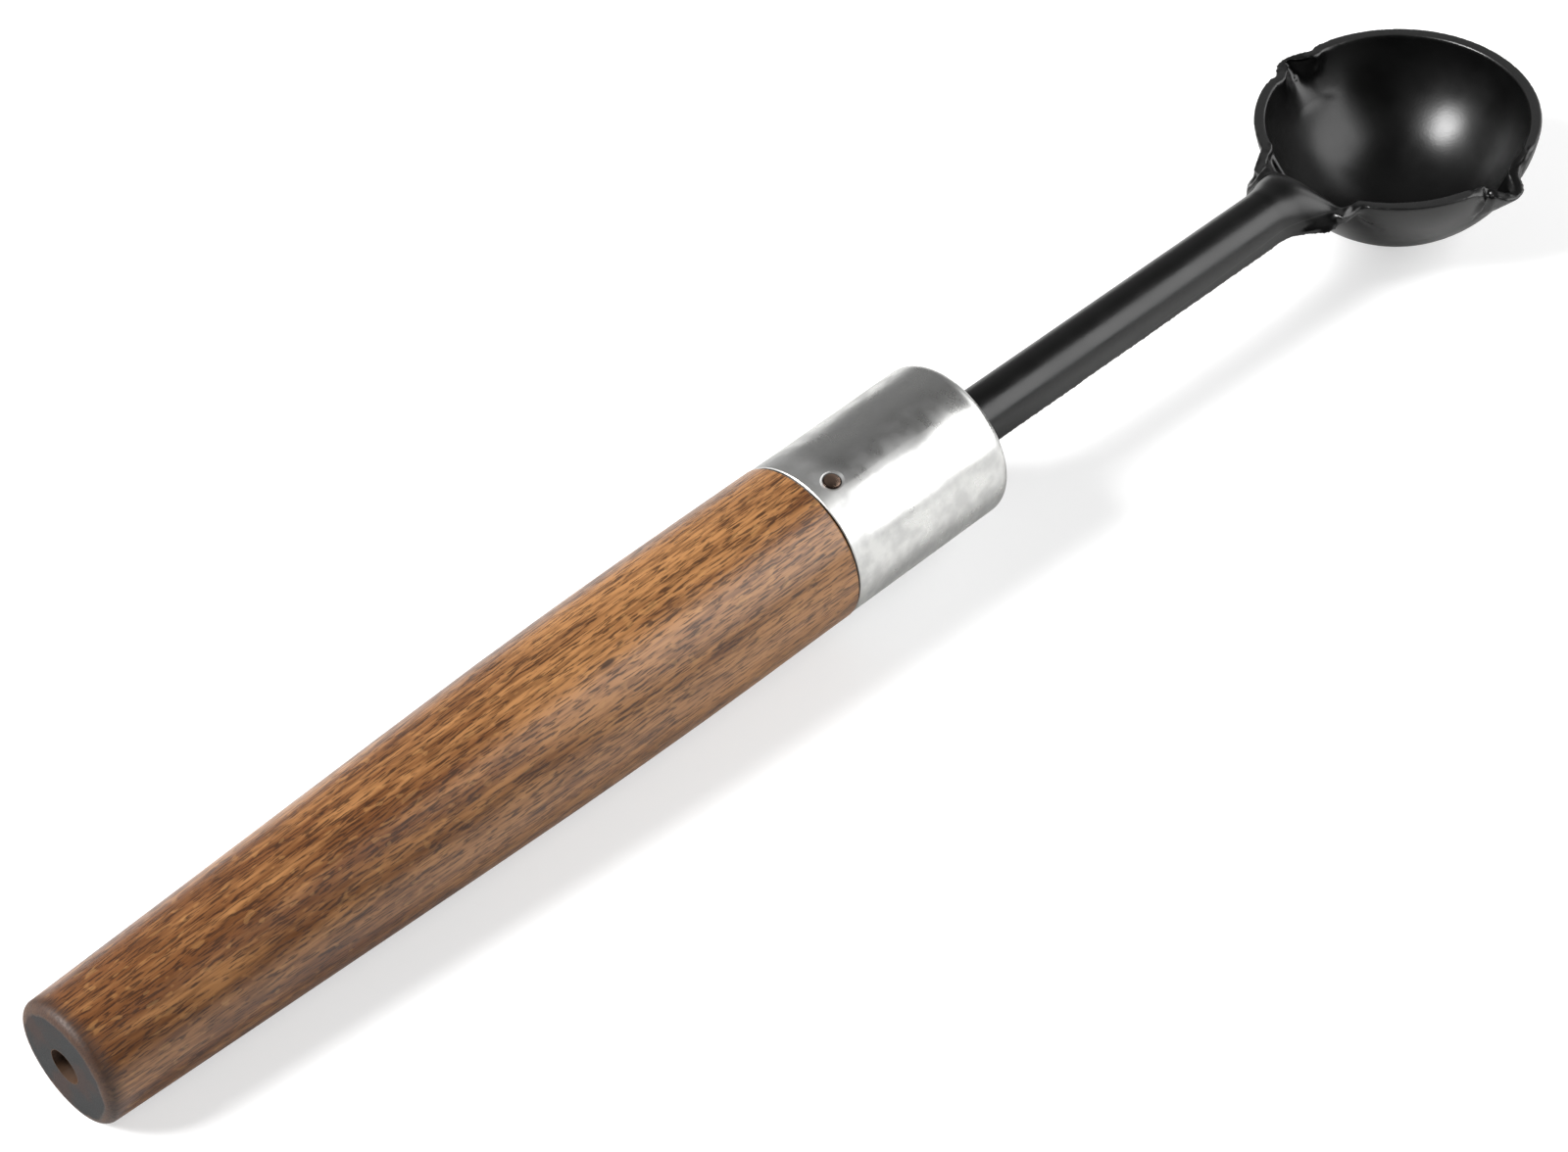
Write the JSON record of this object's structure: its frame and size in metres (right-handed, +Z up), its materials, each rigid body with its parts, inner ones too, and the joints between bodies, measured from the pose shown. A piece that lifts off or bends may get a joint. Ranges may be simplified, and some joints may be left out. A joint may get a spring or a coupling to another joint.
{
  "type": "pouring ladle",
  "caption": "Small pouring ladle: a round pressed steel bowl with a pinched spout on each side, a channel stem, a bright ferrule and a turned wooden handle.",
  "frame": {"origin": "middle of the bounding box at its bottom, on the surface that the ladle lies on", "axes": "+X along the handle towards the bowl, +Z up, the ladle lying on its bowl and on the round edge of its butt"},
  "size_m": [0.2564, 0.044, 0.0251],
  "materials": {
    "black_oxide_steel": "satin black heat oxide on pressed sheet steel",
    "plated_steel": "bright plated, lightly scuffed",
    "stained_hardwood": "turned, stained brown and lacquered, with a dark painted butt",
    "bright_pin_steel": "bright small nail"
  },
  "bodies": {
    "root": {"bowl_and_stem": "black_oxide_steel", "ferrule": "plated_steel", "handle": "stained_hardwood", "ferrule_pin": "bright_pin_steel"}
  },
  "joints": []
}
